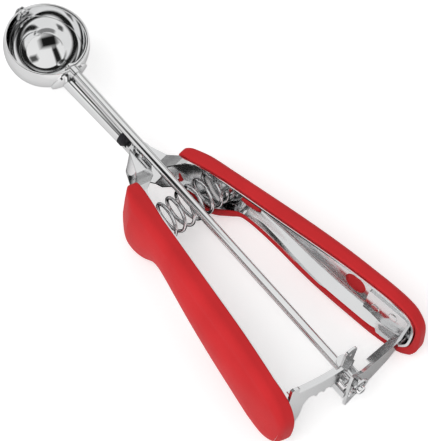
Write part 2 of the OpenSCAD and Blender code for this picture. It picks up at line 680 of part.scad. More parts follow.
module wiper_rivet() {
    wall_x = bowl_r;
    eye_x = sqrt(pow(wiper_r, 2) - pow(eye_r, 2)) - eye_t;
    color(steel) laid() translate([0, 0, rod_z]) rotate([0, -90, 0]) union() {
        translate([0, 0, eye_x - 0.5]) cylinder(h = wall_x - eye_x + 1, r = wiper_pin_r);
        translate([0, 0, wall_x + face_gap]) cylinder(h = head_t * 0.5, r = 2.4);
        translate([0, 0, wall_x + face_gap + head_t * 0.5]) cylinder(h = head_t * 0.5, r1 = 2.4, r2 = 1.6);
        translate([0, 0, eye_x - 0.7]) cylinder(h = 0.6, r = 1.9);
    }
}

bowl();
bowl_saddle();
front_bush();
neck_tube();
neck_plug();
neck_strap();
pivot_barrel();
pivot_pin();
fixed_tray();
fixed_grip();
squeeze_tray();
squeeze_grip();
spring();
fixed_spring_seat();
squeeze_spring_seat();
rack_arm();
rack_rivets();
bearing_arm();
bearing_rivets();
rod_bush();
guide_bracket();
guide_rivets();
rod();
pinion();
push_nut();
wiper_blade();
wiper_rivet();
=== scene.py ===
# Cookie scoop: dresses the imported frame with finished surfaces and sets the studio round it.
import json
import math

import bmesh
import bpy
import numpy as np
from mathutils import Matrix, Vector


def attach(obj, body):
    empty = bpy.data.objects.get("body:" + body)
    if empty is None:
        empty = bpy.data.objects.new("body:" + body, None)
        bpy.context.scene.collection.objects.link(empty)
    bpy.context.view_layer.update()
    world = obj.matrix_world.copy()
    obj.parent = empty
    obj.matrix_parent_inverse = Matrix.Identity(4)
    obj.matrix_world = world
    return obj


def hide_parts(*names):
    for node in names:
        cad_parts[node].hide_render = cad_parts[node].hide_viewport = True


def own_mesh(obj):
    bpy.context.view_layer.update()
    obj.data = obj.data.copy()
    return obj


bl_info = {
    "name": "Cookie Scoop",
    "version": (1, 0, 0),
    "blender": (4, 5, 0),
    "location": "3D View > Sidebar > Scoop",
    "description": "Builds the visible pieces of a two-handle cookie scoop and its studio",
    "category": "Object",
}

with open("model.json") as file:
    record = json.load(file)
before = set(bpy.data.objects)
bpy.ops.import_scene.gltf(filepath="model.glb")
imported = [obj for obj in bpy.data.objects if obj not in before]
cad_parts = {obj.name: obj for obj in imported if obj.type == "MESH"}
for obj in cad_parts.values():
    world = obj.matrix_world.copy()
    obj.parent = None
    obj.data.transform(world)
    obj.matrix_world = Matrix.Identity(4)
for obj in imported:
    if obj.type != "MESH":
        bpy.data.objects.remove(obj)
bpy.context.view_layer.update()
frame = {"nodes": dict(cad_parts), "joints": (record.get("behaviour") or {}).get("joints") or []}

# Working frame of the scoop in millimetres: X along the rod, Y to the fixed handle, Z out of the bowl.
MM = 0.001
PIVOT_X = 59.0
PIVOT_MID_Z = -13.25
HANDLE_ANGLE = math.radians(9.6)
ROD_Z = -2.0
ROD_R = 1.83
ROD_START = 13.6
ROD_END = 188.4
BOWL_R = 17.1
BOWL_WALL = 0.8
BOWL_SINK = 3.8
WIPER_R = 15.9
WIPER_LEAN = math.radians(-9)
SPRING_X = 86.0
SPRING_Z = -12.2
SPRING_R = 7.5
SPRING_HALF = 17.6
# Points of a mesh closer than the first become one, and faces thinner than the second go, in metres.
MERGE_WITHIN = 2e-6
THINNEST = 1e-6
# The noise textures lie nearly always between these two values.
NOISE_LOW, NOISE_HIGH = 0.3, 0.7
SQUEEZE = next(j for j in frame["joints"] if j["name"] == "handle_squeeze")
LIE = math.atan2(SQUEEZE["axis"][0], SQUEEZE["axis"][2])


def turned(points):
    """Turns points about Y by the angle at which the scoop lies on the floor."""
    p = np.asarray(points, float)
    ca, sa = math.cos(LIE), math.sin(LIE)
    return np.stack([p[..., 0] * ca + p[..., 2] * sa, p[..., 1], p[..., 2] * ca - p[..., 0] * sa], -1)


SHIFT = np.array(SQUEEZE["pos_m"]) - MM * turned([PIVOT_X, 0, PIVOT_MID_Z])


def laid(points):
    """Working frame in millimetres to the model's frame in metres: turned, then shifted."""
    return MM * turned(points) + SHIFT


def on_handle(u, v, z, side):
    """Handle frame to working frame: u runs back from the pivot along the handle, v outwards; side is 1 or -1."""
    ca, sa = math.cos(HANDLE_ANGLE), math.sin(HANDLE_ANGLE)
    return np.stack([PIVOT_X + u * ca - v * sa, side * (u * sa + v * ca), z + 0 * u], -1)


def curve_through(points, steps):
    """Catmull-Rom curve through the points, with the given steps on each span.

    With a, b, c, d the four points round a span: 0.5 (2b + (c-a)t + (2a-5b+4c-d)t2 + (3b-a-3c+d)t3).
    """
    p = np.asarray(points, float)
    e = np.concatenate([p[:1], p, p[-1:]])
    a, b, c, d = (e[k:len(e) - 3 + k, None] for k in range(4))
    t = (np.arange(steps) / steps)[None, :, None]
    square, cube = 2 * a - 5 * b + 4 * c - d, 3 * b - a - 3 * c + d
    spans = 0.5 * (2 * b + (c - a) * t + square * t**2 + cube * t**3)
    return np.concatenate([spans.reshape(-1, p.shape[1]), p[-1:]])


def quads(ids):
    """Faces between neighbouring rows and columns of a grid of point numbers."""
    return np.stack([ids[:-1, :-1], ids[1:, :-1], ids[1:, 1:], ids[:-1, 1:]], -1).reshape(-1, 4)


def with_ends(grid):
    """A grid of rings with one more ring at each end, drawn together at the end ring's middle."""
    first, last = [np.repeat(grid[k].mean(0)[None], grid.shape[1], 0)[None] for k in (0, -1)]
    return np.concatenate([first, grid, last])


def surface(name, grids, body, material, sharp=40):
    """One closed mesh that rides on a body. Each grid is (points, join rows, join columns).

    The points are an array [n, m, 3] in the working frame; edges sharper than sharp degrees stay sharp.
    """
    points, faces, base = [], [], 0
    for grid, join_rows, join_columns in grids:
        n, m = grid.shape[:2]
        ids = np.arange(n * m).reshape(n, m) + base
        if join_rows:
            ids = np.concatenate([ids, ids[:1]])
        if join_columns:
            ids = np.concatenate([ids, ids[:, :1]], 1)
        faces.append(quads(ids))
        points.append(grid.reshape(-1, 3))
        base += n * m
    mesh = bpy.data.meshes.new(name)
    mesh.from_pydata(laid(np.concatenate(points)).tolist(), [], np.concatenate(faces).tolist())
    work = bmesh.new()
    work.from_mesh(mesh)
    bmesh.ops.remove_doubles(work, verts=work.verts, dist=MERGE_WITHIN)
    bmesh.ops.dissolve_degenerate(work, edges=work.edges, dist=THINNEST)
    bmesh.ops.recalc_face_normals(work, faces=work.faces)
    work.to_mesh(mesh)
    work.free()
    mesh.shade_smooth()
    mesh.set_sharp_from_angle(angle=math.radians(sharp))
    obj = bpy.data.objects.new(name, mesh)
    bpy.context.scene.collection.objects.link(obj)
    mesh.materials.append(material)
    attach(obj, body)
    return obj


def revolved(profile, start, direction, steps):
    """A profile of (distance along, radius) turned round the line from start along direction."""
    profile = np.asarray(profile, float)
    d = np.asarray(direction, float) / np.linalg.norm(direction)
    side = np.cross(d, [0.0, 1.0, 0.0] if abs(d[1]) < 0.9 else [0.0, 0.0, 1.0])
    side /= np.linalg.norm(side)
    other = np.cross(d, side)
    a = np.linspace(0, 2 * np.pi, steps, endpoint=False)[None, :, None]
    along, radius = profile[:, :1, None], profile[:, 1:, None]
    return np.asarray(start, float) + along * d + radius * (np.cos(a) * side + np.sin(a) * other)


def swept(path, profile_x, profile_y, up):
    """A closed profile carried along a path: x along cross(up, tangent), y square to that and to the path."""
    tangent = np.gradient(path, axis=0)
    tangent /= np.linalg.norm(tangent, axis=1, keepdims=True)
    across = np.cross(up, tangent)
    across /= np.linalg.norm(across, axis=1, keepdims=True)
    over = np.cross(tangent, across)
    x, y = profile_x[None, :, None], profile_y[None, :, None]
    return path[:, None] + x * across[:, None] + y * over[:, None]


def node_material(name, build):
    """A new node material: build(nodes, links, shader) adds its detail."""
    material = bpy.data.materials.new(name)
    material.use_nodes = True
    tree = material.node_tree
    build(tree.nodes, tree.links, tree.nodes["Principled BSDF"])
    return material


def noise(nodes, links, scale, detail, stretch=(1.0, 1.0, 1.0)):
    """Noise on object coordinates, stretched by the three factors; scale is in waves per metre."""
    where = nodes.new("ShaderNodeTexCoord")
    mapping = nodes.new("ShaderNodeMapping")
    mapping.inputs["Scale"].default_value = stretch
    texture = nodes.new("ShaderNodeTexNoise")
    texture.inputs["Scale"].default_value = scale
    texture.inputs["Detail"].default_value = detail
    links.new(where.outputs["Object"], mapping.inputs["Vector"])
    links.new(mapping.outputs["Vector"], texture.inputs["Vector"])
    return texture


def ranged(nodes, links, source, low, high, socket):
    """Feeds the noise into a socket, spread from low to high."""
    spread = nodes.new("ShaderNodeMapRange")
    spread.inputs["From Min"].default_value = NOISE_LOW
    spread.inputs["From Max"].default_value = NOISE_HIGH
    spread.inputs["To Min"].default_value = low
    spread.inputs["To Max"].default_value = high
    links.new(source.outputs["Fac"], spread.inputs["Value"])
    links.new(spread.outputs["Result"], socket)


def tinted(nodes, links, source, dark, light, socket):
    """Feeds a mix of two colours into a socket, by the noise."""
    ramp = nodes.new("ShaderNodeValToRGB")
    ramp.color_ramp.elements[0].position = NOISE_LOW
    ramp.color_ramp.elements[0].color = (*dark, 1)
    ramp.color_ramp.elements[1].position = NOISE_HIGH
    ramp.color_ramp.elements[1].color = (*light, 1)
    links.new(source.outputs["Fac"], ramp.inputs["Fac"])
    links.new(ramp.outputs["Color"], socket)


def bumped(nodes, links, source, strength, distance, shader):
    """Raises the noise as a bump of the given strength and depth in metres."""
    bump = nodes.new("ShaderNodeBump")
    bump.inputs["Strength"].default_value = strength
    bump.inputs["Distance"].default_value = distance
    links.new(source.outputs["Fac"], bump.inputs["Height"])
    links.new(bump.outputs["Normal"], shader.inputs["Normal"])


def shaded(colour, share):
    """A colour made darker or lighter by a share."""
    return [c * share for c in colour]


def steel_material(name, colour, rough, bump, stretch=(1.0, 1.0, 1.0), edge=0.4):
    """Stainless steel: faint clouds in its colour, and fine marks in its polish that stretch along the grain.

    edge is the grey that the steel takes where it is seen at a flat angle.
    """
    def build(nodes, links, shader):
        shader.inputs["Metallic"].default_value = 1.0
        shader.inputs["Specular Tint"].default_value = (edge, edge, edge, 1)
        cloud = noise(nodes, links, scale=60, detail=2)
        tinted(nodes, links, cloud, shaded(colour, 0.94), colour, shader.inputs["Base Color"])
        marks = noise(nodes, links, scale=900, detail=4, stretch=stretch)
        ranged(nodes, links, marks, rough * 0.75, rough * 1.35, shader.inputs["Roughness"])
        bumped(nodes, links, marks, strength=bump, distance=0.00002, shader=shader)
    return node_material(name, build)


def rubber_material(name, colour):
    """Soft moulded rubber: a matte skin with a fine grain and a faint unevenness in its red."""
    def build(nodes, links, shader):
        grain = noise(nodes, links, scale=2600, detail=3)
        cloud = noise(nodes, links, scale=45, detail=3)
        tinted(nodes, links, cloud, shaded(colour, 0.9), shaded(colour, 1.05), shader.inputs["Base Color"])
        ranged(nodes, links, grain, 0.5, 0.62, shader.inputs["Roughness"])
        shader.inputs["Specular IOR Level"].default_value = 0.12
        bumped(nodes, links, grain, strength=0.25, distance=0.00006, shader=shader)
    return node_material(name, build)


def plastic_material(name, colour):
    """Black moulded plastic with a fine spark-eroded grain."""
    def build(nodes, links, shader):
        grain = noise(nodes, links, scale=3000, detail=2)
        tinted(nodes, links, grain, shaded(colour, 0.8), shaded(colour, 1.3), shader.inputs["Base Color"])
        ranged(nodes, links, grain, 0.35, 0.5, shader.inputs["Roughness"])
        bumped(nodes, links, grain, strength=0.2, distance=0.00004, shader=shader)
    return node_material(name, build)


def finish_for(kind):
    """The one material of each finish, made when first asked for."""
    held = bpy.data.materials.get(kind)
    if held:
        return held
    look = bpy.context.scene.scoop_settings
    made = {
        "mirror_steel": lambda: steel_material(kind, (0.96, 0.963, 0.966), rough=look.polish, bump=0.03, edge=0.75),
        "drawn_steel": lambda: steel_material(
            kind, (0.95, 0.953, 0.956), rough=0.1, bump=0.03, stretch=(0.02, 1.0, 1.0), edge=0.05),
        "sheet_steel": lambda: steel_material(kind, look.steel_colour, rough=0.13, bump=0.06),
        "wire_steel": lambda: steel_material(kind, look.wire_colour, rough=0.12, bump=0.08, edge=0.02),
        "red_rubber": lambda: rubber_material(kind, look.grip_colour),
        "black_plastic": lambda: plastic_material(kind, look.plastic_colour),
    }
    return made[kind]()


def dress(node, kind):
    """Gives a carried-over CAD node its finish."""
    obj = frame["nodes"][node]
    obj.data.materials.clear()
    obj.data.materials.append(finish_for(kind))
    obj.data.polygons.foreach_set("material_index", np.zeros(len(obj.data.polygons), np.int32))


class ScoopSettings(bpy.types.PropertyGroup):
    """Colours and the few sizes of the look that can be set"""
    grip_colour: bpy.props.FloatVectorProperty(
        name="Grip colour", description="Colour of the soft grips",
        subtype="COLOR", size=3, default=(0.6, 0.026, 0.03))
    steel_colour: bpy.props.FloatVectorProperty(
        name="Steel colour", description="Colour of the sheet steel",
        subtype="COLOR", size=3, default=(0.9, 0.905, 0.91))
    wire_colour: bpy.props.FloatVectorProperty(
        name="Wire colour", description="Colour of the spring's wire",
        subtype="COLOR", size=3, default=(0.86, 0.87, 0.88))
    plastic_colour: bpy.props.FloatVectorProperty(
        name="Plastic colour", description="Colour of the black plastic",
        subtype="COLOR", size=3, default=(0.012, 0.012, 0.014))
    polish: bpy.props.FloatProperty(
        name="Polish", description="Roughness of the mirror-polished steel",
        default=0.05, min=0.0, max=0.5, subtype="FACTOR")
    wire: bpy.props.FloatProperty(
        name="Spring wire", description="Diameter of the spring's wire",
        default=1.45 * MM, min=0.0008, max=0.0016, unit="LENGTH")
    curls: bpy.props.FloatProperty(
        name="Spring curls", description="Open curls of the spring between its closed ends",
        default=6.5, min=4, max=9)
    crown: bpy.props.FloatProperty(
        name="Grip crown", description="Rise of the grips' outer face at its middle, as a share of its width",
        default=0.0625, min=0.0, max=0.08)


class SCOOP_OT_bowl(bpy.types.Operator):
    """Spun bowl: one closed shell with a rolled rim"""
    bl_idname = "scoop.bowl"
    bl_label = "Bowl"

    def execute(self, context):
        inner = BOWL_R - BOWL_WALL
        # The bead is the round of the rim, a hair thicker than the wall.
        bead = BOWL_WALL / 2 + 0.02
        drop = BOWL_SINK - bead
        rim_r = (math.sqrt(BOWL_R**2 - drop**2) + math.sqrt(inner**2 - drop**2)) / 2
        low = math.asin(drop / BOWL_R)
        steps = 60
        out = np.linspace(-math.pi / 2, low, steps)
        back = np.linspace(math.asin(drop / inner), -math.pi / 2, steps)
        turn = np.linspace(0, math.pi, 12)[1:-1]
        # Up the outside from the bottom, round the rim, and down the inside.
        profile = np.concatenate([
            np.stack([-BOWL_SINK + BOWL_R * np.sin(out), BOWL_R * np.cos(out)], -1),
            np.stack([-bead + bead * np.sin(turn), rim_r + bead * np.cos(turn)], -1),
            np.stack([-BOWL_SINK + inner * np.sin(back), inner * np.cos(back)], -1)])
        grid = revolved(profile, [0, 0, 0], [0, 0, 1], steps=144)
        bowl = surface("bowl_shell", [(grid, False, True)], "frame", finish_for("mirror_steel"))
        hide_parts("bowl")
        return {"FINISHED"}


class SCOOP_OT_wiper(bpy.types.Operator):
    """Wiper: a band bent round the bowl's inside, with an eye at each end"""
    bl_idname = "scoop.wiper"
    bl_label = "Wiper"

    def execute(self, context):
        half_width, taper, half_wall = 3.6, 0.9, 0.25
        # Section of the band, a rounded slab: across from -1 to 1, through from -1 to 1.
        t = np.linspace(0, 2 * math.pi, 24, endpoint=False)
        across = np.sign(np.cos(t)) * np.abs(np.cos(t)) ** 0.25
        through = np.sign(np.sin(t)) * np.abs(np.sin(t)) ** 0.5
        # Round the bowl's inside by the angle a: half the width is half_width - taper cos(a)^12.
        a = np.linspace(math.radians(4), math.radians(176), 90)[:, None]
        z = (half_width - taper * np.cos(a) ** 12) * across[None, :]
        r = np.sqrt((WIPER_R - half_wall) ** 2 - z**2) + half_wall * through[None, :]
        band = with_ends(np.stack([r * np.cos(a), r * np.sin(a), z], -1))
        # Eyes at the ends: flat discs with rounded edges, as rows of distance outwards and radius.
        eye = np.array([[0, 0], [0, 2.8], [0.1, 2.95], [0.4, 3], [0.7, 2.95], [0.8, 2.8], [0.8, 0]])
        eye_wall, eye_r = eye.max(0)
        reach = math.sqrt(WIPER_R**2 - eye_r**2) - eye_wall
        parts = [band] + [revolved(eye, [s * reach, 0, 0], [s, 0, 0], steps=48) for s in (1, -1)]
        ca, sa = math.cos(WIPER_LEAN), math.sin(WIPER_LEAN)
        parts = [(np.stack([x, y * ca - z * sa, y * sa + z * ca + ROD_Z], -1), False, True)
                 for x, y, z in (np.moveaxis(part, -1, 0) for part in parts)]
        wiper = surface("wiper_band", parts, "rod", finish_for("mirror_steel"))
        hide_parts("wiper_blade")
        dress("wiper_rivet", "sheet_steel")
        return {"FINISHED"}


class SCOOP_OT_rod(bpy.types.Operator):
    """Rod, pinion and push nut"""
    bl_idname = "scoop.rod"
    bl_label = "Rod"

    def execute(self, context):
        length = ROD_END - ROD_START
        # Rows of distance along and radius: a small bevel in front, a rounded end behind.
        front = [[0, 0], [0, ROD_R - 0.3], [0.3, ROD_R]]
        shaft = [[x, ROD_R] for x in np.linspace(1, length - 0.6, 40)]
        rear = [[length - 0.3, ROD_R - 0.08], [length - 0.1, ROD_R - 0.3], [length, ROD_R - 0.6], [length, 0]]
        grid = revolved(front + shaft + rear, [ROD_START, 0, ROD_Z], [1, 0, 0], steps=48)
        rod = surface("drawn_rod", [(grid, False, True)], "rod", finish_for("drawn_steel"))
        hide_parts("rod")
        for node in ("pinion", "push_nut"):
            dress(node, "sheet_steel")
        return {"FINISHED"}


class SCOOP_OT_neck(bpy.types.Operator):
    """Neck tube with its saddle, bush, plug and strap"""
    bl_idname = "scoop.neck"
    bl_label = "Neck"

    def execute(self, context):
        for node in ("bowl_saddle", "neck_tube"):
            dress(node, "mirror_steel")
        for node in ("neck_strap", "pivot_barrel", "pivot_pin", "front_bush"):
            dress(node, "sheet_steel")
        dress("neck_plug", "black_plastic")
        return {"FINISHED"}


# Steps of the curve on each span of a side line.
SPAN = 10
# Side lines of the grips, clockwise from the nose: place along the handle, height, how far the outer side hangs
# below, and how far the heel leans forward. The fixed grip's nose is cut squarer.
LOWER_LINE = [
    [88, -17.3, 0.4, 0], [76, -15.4, 1.1, 0], [64, -12.3, 2.9, 0], [54, -10.6, 3.7, 0], [48, -10.4, 3.6, 0],
    [44, -11.6, 2.6, 0], [39.5, -16.6, 0, 0], [33, -23.6, 0, 0], [27, -26.8, 0, 0], [21.6, -26.2, 0, 0],
    [16.6, -21.5, 0, 0], [13.9, -14.6, 0, 0], [12.9, -11, 0, 0]]
UPPER_LINE = [
    [18.4, -2.6, 0, 0], [25, -0.9, 0, 0], [33, 0.3, 0, 0], [39, 1.2, 0, 0], [50, 2.7, 0, 0], [63, 4.5, 0, 0],
    [88, 8.1, 0, 0], [104, 9.2, 0, 0], [112, 9.3, 0, 0], [118.4, 8.7, 0, 0], [123.6, 6.8, 0, 0],
    [126.8, 2.4, 0, 0]]
FIXED_LINE = [
    [13, -9, 0, 0], [13.1, -5.8, 0, 0], [13.7, -3.9, 0, 0], *UPPER_LINE, [127.4, -5.6, 0, 0],
    [126.2, -11.6, -0.4, 0], [121.1, -16.6, -0.6, 0], [113.1, -18.5, -0.3, 0], [106, -18.4, 0.1, 0], *LOWER_LINE]
SQUEEZE_LINE = [
    [12.5, -9, 0, 0], [12.5, -6, 0, 0], [14.1, -3.9, 0, 0], *UPPER_LINE, [127.4, -5.6, 0, 0.2],
    [126.2, -11.6, 0, 0.3], [121.1, -16.6, -0.2, 0.2], [113.1, -18.5, -0.2, 0], [106, -18.6, 0, 0], *LOWER_LINE]

# Tables along a side line: rows of place, counted in the line's points, and value.
# How much thicker the fixed grip's heel is than its steel.
HEEL_FULLNESS = [(13.2, 0), (14.4, 1.2), (15.4, 2.3), (16.2, 3), (17, 1.8), (17.9, 0)]
# How far the grips' free edge is tucked in along the lower side.
EDGE_TUCK = [(17, 0), (18.2, -1.4), (20.5, -1.3), (22.5, -0.3), (24, -0.2), (25, -0.9), (26.6, -1.5), (28, 0)]
# Draft of the trays' flange towards the web, widest along the lower side, and what the squeezed tray adds.
DRAFT = [(3.6, 0.2), (16, 0.2), (18, 0.5), (19, 2.3), (20.5, 2.8), (22, 1.5), (23, 1.2), (24.5, 1.4), (26, 0.5),
         (28.5, 0.2)]
SQUEEZE_DRAFT = [(14, 0), (15, 0.3), (16, 0.9), (17, 1), (18, 0.6), (19.4, 0)]

# Greatest reach outwards at each place along the handle: rounds the nose, and keeps the heel inside the solids'
# width. The squeezed grip may reach REACH_MORE further in front of REACH_NOSE.
REACH = [(11, 10.6), (12.2, 12.4), (14.7, 14.2), (18, 15.5), (22, 17.5), (24, 20), (90, 22), (100, 20.7),
         (120, 17.3), (134, 14.9)]
REACH_NOSE = 30
REACH_MORE = 0.8

# Distances v outwards on the handle: the grips' free edge, the start of their rounded edge, and the bottom of
# their hidden hollow. SKIN is the grips' thickness over the steel.
EDGE_V = 9
ROUND_V = 12.8
HOLLOW_V = 15.25
SKIN = 1.4
# Lip of the free edge: v past the edge, offset from the side line, share of the tuck, share of the hang.
LIP = [(0.6, 0.02, 1, 0), (0.15, 0.05, 1, 0), (0, 0.35, 1, 0), (0, 0.95, 0, 0), (0.15, 1.3, 0, 0),
       (0.5, SKIN, 0, 0.03)]
# Straight part of the wall: v and share of the hang.
WALL = [(10.8, 0.15), (11.8, 0.45), (12.4, 0.65)]
# Section of a tray's bend, closed: v, offset from the side line, share of the draft.
BEND = [(8.95, 0, 0), (8.95, -0.86, 0), (9.1, -0.9, 0.03), (12.2, -0.95, 0.65), (13.4, -1.05, 0.88),
        (13.85, -1.2, 0.96), (14.2, -1.5, 1), (14.36, -1.9, 1), (14.37, -2.4, 1), (14.5, -2.7, 1),
        (14.8, -2.7, 1), (15.1, -1.6, 0), (15.1, 0, 0)]


def along_rows(place, rows):
    """Value at each place from rows of place and value, straight between the rows."""
    return np.interp(place, *zip(*rows))


def outward(p):
    """Unit normals to the left of a closed clockwise line in the (u, z) plane, which point out of it."""
    along = np.roll(p, -1, 0) - np.roll(p, 1, 0)
    along /= np.linalg.norm(along, axis=1, keepdims=True)
    return np.stack([-along[:, 1], along[:, 0]], -1)


def floor_height(u):
    """Height of the floor under the grips, where the scoop lies on its finger guards and heels."""
    lowest, lowest_u = -20.2, 106
    return lowest + (lowest_u - u) * -math.tan(LIE)


def held_below(v, limit):
    """Smooth lesser of v and limit: v - soft ln(1 + e^over), where over = (v - limit) / soft."""
    soft, far = 0.7, 20
    over = (v - limit) / soft
    return np.where(over > far, limit, v - soft * np.log1p(np.exp(np.clip(over, -30, far))))


def wall_rings(place, heel):
    """Rings of a grip's wall from the free edge to the outer face: v, offset from the side line, share of the hang.

    The rounded edge turns by the angle a: v = 12.8 + 3.66 sin a, offset = 1.4 - 4.6 (1 - cos a), and the share
    grows as 0.78 + 0.5 a up to 1.
    """
    # Where the free edge stands: over the steel at the nose, bare steel along the top, over it below.
    edge = along_rows(place, [(0, -0.3), (3, -0.3), (5, 0.8), (11, 0.8), (12.5, heel), (15.5, heel), (17.5, -0.6),
                              (29, -0.6), (31.5, -0.3)])
    tuck = along_rows(place, EDGE_TUCK)
    every = np.ones(len(place))
    rings = [(EDGE_V + edge + v, offset + tucked * tuck, share) for v, offset, tucked, share in LIP]
    rings += [(v * every, SKIN * every, share) for v, share in WALL]
    for a in np.radians(np.linspace(0, 73, 16)):
        v, offset = ROUND_V + 3.66 * math.sin(a), SKIN - 4.6 * (1 - math.cos(a))
        rings.append((v * every, offset * every, min(1, 0.78 + 0.5 * a)))
    return rings


def grip_wall(base, place, side, heel, bulge):
    """A grip's wall on its side line, as an array [ring, place, (u, v, z)].

    Outwards it swells by two bells, one under the palm at u 68 and, by bulge, one at the nose, u 20:
    0.9 e^-((u - 68) / 30)^2 + bulge e^-((u - 20) / 14)^2.
    """
    fullness = along_rows(place, HEEL_FULLNESS) if side > 0 else 0 * place
    rows = []
    for v, offset, share in wall_rings(place, heel):
        ring = base[:, :2] - share * base[:, [3, 2]]
        fuller = fullness * np.clip((offset + 0.2) / 1.2, 0, 1)
        ring = ring + (offset + fuller)[:, None] * outward(ring)
        ring[:, 1] = np.maximum(ring[:, 1], floor_height(ring[:, 0]))
        u = ring[:, 0]
        swell = 0.9 * np.exp(-((u - 68) / 30) ** 2) + bulge * np.exp(-((u - 20) / 14) ** 2)
        rows.append(np.stack([u, v + share * swell, ring[:, 1]], -1))
    return np.stack(rows)


def rungs(ring, t):
    """Straight rungs from the upper half of a ring to its lower half, parted by t from 0 to 1."""
    half = (len(ring) - 1) // 2
    top, low = ring[:half + 1], ring[::-1][:half + 1]
    return top, low, top * (1 - t) + low * t


class SCOOP_OT_grips(bpy.types.Operator):
    """Soft red grips with finger guards, moulded round the handles' steel"""
    bl_idname = "scoop.grips"
    bl_label = "Grips"

    def execute(self, context):
        crown = context.scene.scoop_settings.crown
        t = np.linspace(0, 1, 25)[:, None, None]
        # heel: where the free edge stands at the heel; bulge: share of the swell at the nose.
        for line, side, body, name, node, heel, bulge in (
                (FIXED_LINE, 1, "frame", "fixed_grip_skin", "fixed_grip", 0.8, 0.0),
                (SQUEEZE_LINE, -1, "squeeze_handle", "squeeze_grip_skin", "squeeze_grip", 0.1, 1.0)):
            base = curve_through(line, SPAN)
            place = np.arange(len(base)) / SPAN
            wall = grip_wall(base, place, side, heel, bulge)
            # Outer face: rungs between the wall's edges, raised in a parabola of t: 4 crown width t (1 - t).
            top, low, cap = rungs(wall[-1], t)
            width = np.linalg.norm(top - low, axis=-1)[None, :]
            cap[..., 1] += 4 * crown * width * t[..., 0] * (1 - t[..., 0])
            # Inside: the wall's first ring carried outwards to a plain bottom, which the face covers.
            inner = np.stack([wall[0], wall[0]])
            inner[1, :, 1] = HOLLOW_V
            inner[1, :, [0, 2]] = (base[:, :2] - 0.3 * outward(base[:, :2])).T
            back = rungs(inner[1], t)[2]
            reach = [(u, v + REACH_MORE * bulge * (u < REACH_NOSE)) for u, v in REACH]
            grids = []
            for grid, join in ((wall, True), (cap, False), (inner, True), (back, False)):
                u, v, z = np.moveaxis(grid, -1, 0)
                grids.append((on_handle(u, held_below(v, along_rows(u, reach)), z, side), False, join))
            grip = surface(name, grids, body, finish_for("red_rubber"), sharp=60)
            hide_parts(node)
        return {"FINISHED"}


def web_boss():
    """Rubber of the fixed grip that shows through its web near the spring: a leaning oval with a low dome.

    At the share r of the oval's size the dome stands at v = 12.7 - 0.35 (1 - r2).
    """
    middle_u, middle_z, half_length, half_height, lean = 45.6, -7.2, 4.6, 1.9, 0.9
    top_v, foot_v, rise, steps = 12.7, 14.6, 0.35, 40
    r = np.linspace(1, 0, 7)[:, None]
    a = np.linspace(0, 2 * math.pi, steps, endpoint=False)[None, :]
    v = np.concatenate([np.full((1, steps), foot_v), top_v - rise * (1 - r**2) + 0 * a])
    r = np.concatenate([[[1.0]], r])
    u = middle_u + half_length * r * np.cos(a)
    grid = on_handle(u, v, middle_z + r * (half_height * np.sin(a) + lean * np.cos(a)), 1)
    back = np.stack([grid[0], np.repeat(grid[0].mean(0)[None], steps, 0)])
    return surface("fixed_plug", [(grid, False, True), (back, False, True)], "frame", finish_for("red_rubber"))


class SCOOP_OT_trays(bpy.types.Operator):
    """Pressed steel trays of the two handles, and the red boss in the fixed one's web"""
    bl_idname = "scoop.trays"
    bl_label = "Trays"

    def execute(self, context):
        for line, side, body, name, node in (
                (FIXED_LINE, 1, "frame", "fixed_tray_bend", "fixed_tray"),
                (SQUEEZE_LINE, -1, "squeeze_handle", "squeeze_tray_bend", "squeeze_tray")):
            dress(node, "sheet_steel")
            base = curve_through(line, SPAN)
            place = np.arange(len(base)) / SPAN
            keep = (place >= DRAFT[0][0]) & (place <= DRAFT[-1][0])
            base, place, normal = base[keep, :2], place[keep], outward(base[:, :2])[keep]
            draft = along_rows(place, DRAFT)
            if side < 0:
                draft = draft + along_rows(place, SQUEEZE_DRAFT)
            rings = []
            for v, offset, drafted in BEND:
                inset = offset - drafted * draft
                rings.append(np.stack([base[:, 0] + inset * normal[:, 0], np.full(len(base), v),
                                       base[:, 1] + inset * normal[:, 1]], -1))
            u, v, z = np.moveaxis(with_ends(np.stack(rings, 1)), -1, 0)
            grids = [(on_handle(u, v, z, side), False, True)]
            bend = surface(name, grids, body, finish_for("sheet_steel"), sharp=50)
        plug = web_boss()
        return {"FINISHED"}


class SCOOP_OT_spring(bpy.types.Operator):
    """Round-wire compression spring with closed ends, and its seats"""
    bl_idname = "scoop.spring"
    bl_label = "Spring"

    def execute(self, context):
        look = context.scene.scoop_settings
        wire_r = look.wire / MM / 2
        mean_r = SPRING_R - wire_r
        # Turns of each closed end, gap between the open curls before all is scaled to the room, play at the seats.
        closed, gap, play = 0.8, 3.2, 0.1
        turns = look.curls + 2 * closed
        s = np.linspace(0, turns, 640)
        # Rise per turn: one wire in the closed ends, and gap (3 e2 - 2 e3) more as they open, with e the ease.
        ease = np.clip(np.minimum(s, turns - s) / closed, 0, 1) ** 2
        rate = 2 * wire_r + gap * (3 * ease**2 - 2 * ease**3)
        y = np.concatenate([[0], np.cumsum((rate[1:] + rate[:-1]) / 2 * np.diff(s))])
        room = 2 * SPRING_HALF - 2 * wire_r - play
        y = (y / y[-1] - 0.5) * room
        angle = 2 * math.pi * s
        path = np.stack([SPRING_X + mean_r * np.cos(angle), y, SPRING_Z + mean_r * np.sin(angle)], -1)
        a = np.linspace(0, 2 * math.pi, 18, endpoint=False)
        tube = swept(path, wire_r * np.cos(a), wire_r * np.sin(a), np.array([0.0, 1.0, 0.0]))
        spring = surface("coil_spring", [(with_ends(tube), False, True)], "frame", finish_for("wire_steel"))
        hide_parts("spring")
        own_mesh(spring)
        for node in ("fixed_spring_seat", "squeeze_spring_seat"):
            dress(node, "sheet_steel")
        return {"FINISHED"}


